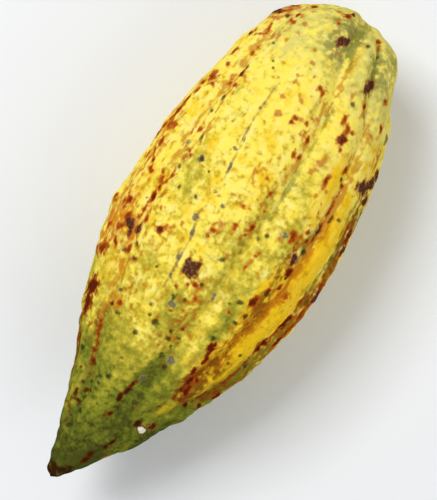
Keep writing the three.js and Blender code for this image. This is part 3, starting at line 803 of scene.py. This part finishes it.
class Field:
    """A number that varies over the surface, from a node. Sums and products make new nodes."""

    def __init__(self, shader, socket):
        self.shader = shader
        self.socket = socket

    def __add__(self, other):
        return self.shader.maths("ADD", self, other)

    def __sub__(self, other):
        return self.shader.maths("SUBTRACT", self, other)

    def __mul__(self, other):
        return self.shader.maths("MULTIPLY", self, other)

    def step(self, low, high, to_low=0.0, to_high=1.0):
        """Goes smoothly from to_low to to_high as this goes from low to high."""
        ends = {"From Min": low, "From Max": high, "To Min": to_low, "To Max": to_high}
        node = self.shader.node("MapRange", {"Value": self, **ends})
        node.interpolation_type = "SMOOTHSTEP"
        return Field(self.shader, node.outputs["Result"])


class Shader:
    """A material, its Principled shader, and short ways to make the nodes that feed it."""

    def __init__(self, name):
        self.material = bpy.data.materials.new(name)
        self.material.use_nodes = True
        self.tree = self.material.node_tree
        self.principled = self.tree.nodes["Principled BSDF"]
        self.colour = None

    def put(self, socket, value):
        if isinstance(value, Field):
            value = value.socket
        if isinstance(value, bpy.types.NodeSocket):
            self.tree.links.new(value, socket)
        else:
            socket.default_value = value

    def node(self, kind, inputs):
        node = self.tree.nodes.new("ShaderNode" + kind)
        for name, value in inputs.items():
            self.put(node.inputs[name], value)
        return node

    def maths(self, operation, first, second):
        node = self.node("Math", {0: first, 1: second})
        node.operation = operation
        return Field(self, node.outputs["Value"])

    def attribute(self, name):
        node = self.node("Attribute", {})
        node.attribute_name = name
        return Field(self, node.outputs["Fac"])

    def place(self, size, stretch=1.0):
        """The point on the pod in units of this size, drawn out along the pod by the stretch."""
        coordinates = self.node("TexCoord", {}).outputs["Object"]
        scale = (1 / (size * stretch * MM), 1 / (size * MM), 1 / (size * MM))
        return self.node("Mapping", {"Vector": coordinates, "Scale": scale}).outputs["Vector"]

    def noise(self, size, detail, roughness, stretch=1.0):
        """Noise about zero, mostly from -2 to 2, with spots of this size in millimetres."""
        place = self.place(size, stretch)
        inputs = {"Vector": place, "Scale": 1, "Detail": detail, "Roughness": roughness}
        shares = [roughness ** octave for octave in range(detail + 1)]
        spread = NOISE_SPREAD * math.hypot(*shares) / sum(shares)
        return (Field(self, self.node("TexNoise", inputs).outputs["Fac"]) - 0.5) * (1 / spread)

    def specks(self, size, radius, share):
        """Round specks, one in a share of the cells of this size, the largest of this radius."""
        node = self.node("TexVoronoi", {"Vector": self.place(size), "Scale": 1})
        draws = self.node("SeparateColor", {"Color": node.outputs["Color"]}).outputs
        away = Field(self, node.outputs["Distance"]) * (size / radius)
        near = (away + draws["Green"]).step(1, SPECK_EDGE)
        return near * self.maths("LESS_THAN", draws["Red"], share)

    def mix(self, share, first, second):
        node = self.tree.nodes.new("ShaderNodeMix")
        node.data_type = "RGBA"
        values = {"Factor_Float": share, "A_Color": first, "B_Color": second}
        for socket in node.inputs:
            if socket.identifier in values:
                self.put(socket, values[socket.identifier])
        return next(socket for socket in node.outputs if socket.identifier == "Result_Color")

    def coat(self, share, colour):
        """Lays a colour over what is there; share says how much of it shows."""
        self.colour = self.mix(share, self.colour, colour)


PALE_YELLOW = srgb(247, 235, 150)
YELLOW = srgb(251, 229, 92)
DEEP_YELLOW = srgb(241, 205, 50)
OLIVE_YELLOW = srgb(193, 177, 56)
OLIVE = srgb(122, 128, 38)
DARK_GREEN = srgb(74, 79, 27)
LIME = srgb(222, 211, 112)
OLIVE_GREY = srgb(150, 146, 74)
OCHRE = srgb(194, 152, 32)
AMBER = srgb(246, 198, 24)
BROWN = srgb(138, 84, 20)
TAN = srgb(204, 150, 52)
FADED = srgb(194, 118, 52)
ORANGE = srgb(204, 116, 22)
RUST = srgb(162, 64, 18)
DARK_RUST = srgb(88, 28, 10)
DARK_MARK = srgb(72, 36, 30)
CRUST = srgb(116, 76, 60)
OLIVE_BLACK = srgb(48, 48, 26)
GREY = srgb(94, 89, 76)
PALE_GREY = srgb(158, 146, 136)
PALE_RIM = srgb(240, 228, 150)
CRACK_BROWN = srgb(150, 104, 54)
FLESH = srgb(236, 226, 208)
DARK_BROWN = srgb(56, 30, 10)
CORK = srgb(120, 92, 62)

# The places along the pod between which each of these comes in, in millimetres.
UNRIPE = (145, 175)
RIPE = (168, 128)
FRESH = (145, 105)
WORN = (35, 115)
LEAST_WORN = 0.28
DEEPER = (30, 90)
DARK_TIP = (202.5, 207.5)

SKIN_ROUGHNESS = 0.6
BUMP_HEIGHT = 0.05  # in millimetres


def make_skin_material():
    skin = Shader("pod_skin")
    along = skin.attribute("along")
    relief = skin.attribute("relief")
    mottle = skin.noise(5, 3, 0.6)
    patches = skin.noise(9, 3, 0.6)
    spots = skin.noise(2.4, 1, 0.5)
    grain = skin.noise(1.1, 1, 0.5)
    streaks = skin.noise(1.8, 2, 0.6, 6)
    unripe = along.step(*UNRIPE)  # the green tip, with few warm stains
    ripe = along.step(*RIPE)
    fresh = along.step(*FRESH)  # where rust has an orange rim
    worn = along.step(*WORN, LEAST_WORN, 1)  # the skin is cleaner at the stalk end

    def zone(name, unevenness):
        """A zone's strength made uneven; it stays nothing outside the zone."""
        return skin.attribute(name) * (unevenness + 1)

    # The ground goes from yellow to green, darker in drifts. The fine relief also sets the colour: paler
    # on the lumps, a painted highlight, and deeper yellow, olive yellow and greener in the hollows,
    # painted shade.
    skin.colour = YELLOW
    # Painted highlight: pale yellow on the raised lumps of the fine relief, over pale mottling.
    pale_and_lump_highlight = skin.noise(3.2, 1, 0.5) * 0.7 + patches * 0.4 + relief * 0.9
    skin.coat(pale_and_lump_highlight.step(-0.9, 2.4) * 0.58, PALE_YELLOW)
    # Painted shade: deeper yellow in the hollows of the fine relief, over deep yellow mottling.
    deep_and_hollow_shade = skin.noise(8, 3, 0.6) + spots * 0.4 - relief + along.step(*DEEPER) * 0.5
    skin.coat(deep_and_hollow_shade.step(-0.2, 3), DEEP_YELLOW)
    # Olive-yellow mould, with painted shade in the hollows of the fine relief.
    mould_and_hollow_shade = spots * 0.6 + grain * 0.3 + mottle * 0.3 - relief * 0.5
    skin.coat(mould_and_hollow_shade.step(-0.6, 2.6) * ripe * worn * 0.4, OLIVE_YELLOW)
    lime = zone("lime", mottle * 0.25 + spots * 0.3 + grain * 0.1)
    skin.coat(lime.step(0, 1.3) * 0.9, LIME)
    unevenness = mottle * 0.12 + patches * 0.08 + spots * 0.2 + grain * 0.08
    # The green tone is also a little greener in the hollows of the fine relief: painted shade.
    tone_and_hollow_shade = skin.attribute("green") + unevenness * (unripe * -0.3 + 1) - relief * 0.3
    skin.coat(tone_and_hollow_shade.step(0, 1.3), OLIVE_YELLOW)
    skin.coat(tone_and_hollow_shade.step(0.9, 2.2), OLIVE)
    skin.coat(tone_and_hollow_shade.step(1.9, 3.1), DARK_GREEN)
    olive_grey = zone("olive_grey", mottle * 0.25 + spots * 0.25 + grain * 0.1)
    skin.coat(olive_grey.step(0, 1.5) * 0.95, OLIVE_GREY)
    speckle = spots * 0.5 + grain * 0.3 + mottle * 0.3
    skin.coat(speckle.step(0.1, 1.8) * unripe * 0.4, DARK_BROWN)

    # Warm stains, and furrow colour that is partly painted shade.
    amber = zone("amber", mottle * 0.15 + streaks * 0.1)
    skin.coat(amber.step(0.1, 0.9) * 0.85, AMBER)
    drift = patches * 0.25 + spots * 0.45 + grain * 0.1 + streaks * 0.15
    skin.coat(drift.step(0, 1.8) * ripe * worn * 0.75, OCHRE)
    orange = zone("orange", streaks * 0.3 + mottle * 0.25 + spots * 0.15)
    skin.coat(orange.step(0.1, 1.2) * 0.75, ORANGE)
    brown = zone("brown", streaks * 0.15 + mottle * 0.15 + spots * 0.2 + grain * 0.06)
    skin.coat(brown.step(0.1, 1.2) * (unripe * -0.3 + 0.9), BROWN)
    browner = brown + spots * 0.35 + unripe * 0.5
    skin.coat(browner.step(1.0, 2.2) * brown.step(0.2, 0.8) * 0.35, DARK_BROWN)
    # Brown in the hidden furrows: partly stain, partly painted shade in the furrow floors.
    stain_and_shade = zone("stain_and_shade", streaks * 0.3 + spots * 0.2)
    skin.coat(stain_and_shade.step(0.2, 1.2) * ripe * 0.8, BROWN)
    tan = skin.attribute("tan") + streaks * 0.4 + mottle * 0.3 + spots * 0.35
    skin.coat(tan.step(-0.8, 1.0) * (ripe * 0.6 + 0.3), TAN)
    # Olive lines along the furrows: olive colour, partly painted shade in the furrow floors.
    olive_and_shade_line = skin.attribute("olive_and_shade_line") + streaks * 0.3 + mottle * 0.25
    skin.coat(olive_and_shade_line.step(-0.8, 1.0) * 0.6, OLIVE)

    # Freckles and spots of rust. They are dark brown where the pod is green.
    freckles = zone("freckle", patches * 0.2) * 0.8 + spots * 0.5 + grain * 0.1
    skin.coat(freckles.step(0.9, 1.7) * ripe * 0.6, ORANGE)
    skin.coat(freckles.step(1.5, 2.3) * 0.7, RUST)
    faded = skin.attribute("faded") + spots * 0.25
    skin.coat(faded.step(-0.6, 0.5) * 0.8, FADED)
    rust = skin.attribute("rust") + spots * 0.2 + grain * 0.06
    skin.coat(rust.step(-0.8, 0.3) * fresh * 0.6, ORANGE)
    skin.coat(rust.step(-0.3, 0.5) * 0.9, RUST)
    skin.coat(rust.step(0.4, 1.0) * 0.65, DARK_RUST)
    dark_rust = skin.attribute("dark_rust") + spots * 0.16 + grain * 0.06
    skin.coat(dark_rust.step(-0.8, 0.1) * fresh * 0.5, ORANGE)
    skin.coat(dark_rust.step(-0.5, 0.1) * 0.85, RUST)
    skin.coat(dark_rust.step(-0.15, 0.45) * 0.95, DARK_RUST)
    browned = skin.maths("MAXIMUM", rust, dark_rust + 0.3)
    skin.coat(browned.step(-0.6, 0.4) * unripe * 0.8, DARK_BROWN)

    # The crack, dots, specks, scars and the nick.
    crack = skin.attribute("crack") + streaks * 0.2 + spots * 0.25
    skin.coat(crack.step(-0.7, 0.8) * 0.75, CRACK_BROWN)
    grey = skin.attribute("grey") + grain * 0.15
    skin.coat(grey.step(-1.0, -0.4) * 0.12, PALE_RIM)
    skin.coat(grey.step(-0.5, 0.3) * 0.8, GREY)
    skin.coat(grey.step(0.3, 0.9) * 0.2, PALE_GREY)
    dots = skin.attribute("dots") + grain * 0.1 + spots * 0.1
    skin.coat(dots.step(-0.7, 0.5) * 0.85, OLIVE_BLACK)
    skin.coat(skin.specks(4.2, 0.7, 0.22) * worn * 0.4, OLIVE_BLACK)
    skin.coat(skin.specks(3, 0.45, 0.2) * worn * 0.4, RUST)
    dark = skin.attribute("dark") + spots * 0.18 + grain * 0.06
    skin.coat(dark.step(-0.6, 0.05) * 0.6, RUST)
    crust = skin.mix(grain.step(0, 2), DARK_MARK, CRUST)
    skin.coat(dark.step(-0.2, 0.3) * 0.95, crust)
    nick = skin.attribute("nick") + grain * 0.05
    skin.coat(nick.step(-0.5, -0.1) * 0.5, DARK_BROWN)
    skin.coat(nick.step(-0.1, 0.2), FLESH)

    # The dark end of the tip, and the stalk's scar with its rim.
    skin.coat((along + mottle * 1.2 + spots).step(*DARK_TIP), DARK_BROWN)
    scar = skin.attribute("scar")
    cork = skin.mix((grain + mottle).step(-1, 2.5), CORK, DARK_BROWN)
    skin.coat(scar.step(0, 1), cork)
    skin.coat(skin.maths("PINGPONG", scar, 0.5) * 1.6, DARK_BROWN)

    skin.put(skin.principled.inputs["Base Color"], skin.colour)
    skin.principled.inputs["Roughness"].default_value = SKIN_ROUGHNESS
    skin.principled.inputs["Specular IOR Level"].default_value = 0
    height = grain * 0.2 + spots * 0.5
    bump = skin.node("Bump", {"Height": height, "Distance": BUMP_HEIGHT * MM, "Strength": 1})
    skin.put(skin.principled.inputs["Normal"], bump.outputs["Normal"])
    return skin.material


FLOOR_COLOUR = srgb(238, 240, 243)
FLOOR_ROUGHNESS = 0.9


def make_floor_material():
    shader = Shader("floor")
    shader.principled.inputs["Base Color"].default_value = FLOOR_COLOUR
    shader.principled.inputs["Roughness"].default_value = FLOOR_ROUGHNESS
    return shader.material


# ---- the stage ------------------------------------------------------------------------------

# Lengths are in metres here, and powers in watts.
FLOOR_HALF = 3.0
FLOOR_LEVEL = -0.0001  # just under the flat spot, so that the two don't coincide
WORLD_STRENGTH = 0.42
# each light's power, the side of its square and its place; it faces the pod
LIGHTS = {
    "key": (8.8, 0.5, (-0.15, -0.6, 1.05)),
    "fill": (4.0, 1.0, (0.3, 0.9, 0.8)),
}


def make_floor():
    mesh = bpy.data.meshes.new("floor")
    half = FLOOR_HALF
    corners = [(-half, -half), (half, -half), (half, half), (-half, half)]
    mesh.from_pydata([(x, y, FLOOR_LEVEL) for x, y in corners], [], [(0, 1, 2, 3)])
    floor = bpy.data.objects.new("floor", mesh)
    floor.data.materials.append(make_floor_material())
    bpy.context.scene.collection.objects.link(floor)


def make_light(name, power, size, place):
    light = bpy.data.lights.new(name, "AREA")
    light.energy = power
    light.size = size
    lamp = bpy.data.objects.new(name, light)
    lamp.location = place
    lamp.rotation_euler = (-Vector(place)).to_track_quat("-Z", "Y").to_euler()
    bpy.context.scene.collection.objects.link(lamp)


def make_world():
    world = bpy.data.worlds.new("studio")
    world.use_nodes = True
    background = world.node_tree.nodes["Background"]
    background.inputs["Color"].default_value = (1, 1, 1, 1)
    background.inputs["Strength"].default_value = WORLD_STRENGTH
    bpy.context.scene.world = world
    bpy.context.scene.view_settings.view_transform = "Standard"


make_camera()
make_floor()
for name, light in LIGHTS.items():
    make_light(name, *light)
make_world()

pod = make_pod()
pod.data.materials.append(make_skin_material())
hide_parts("cacao_pod")
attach(pod, "root")
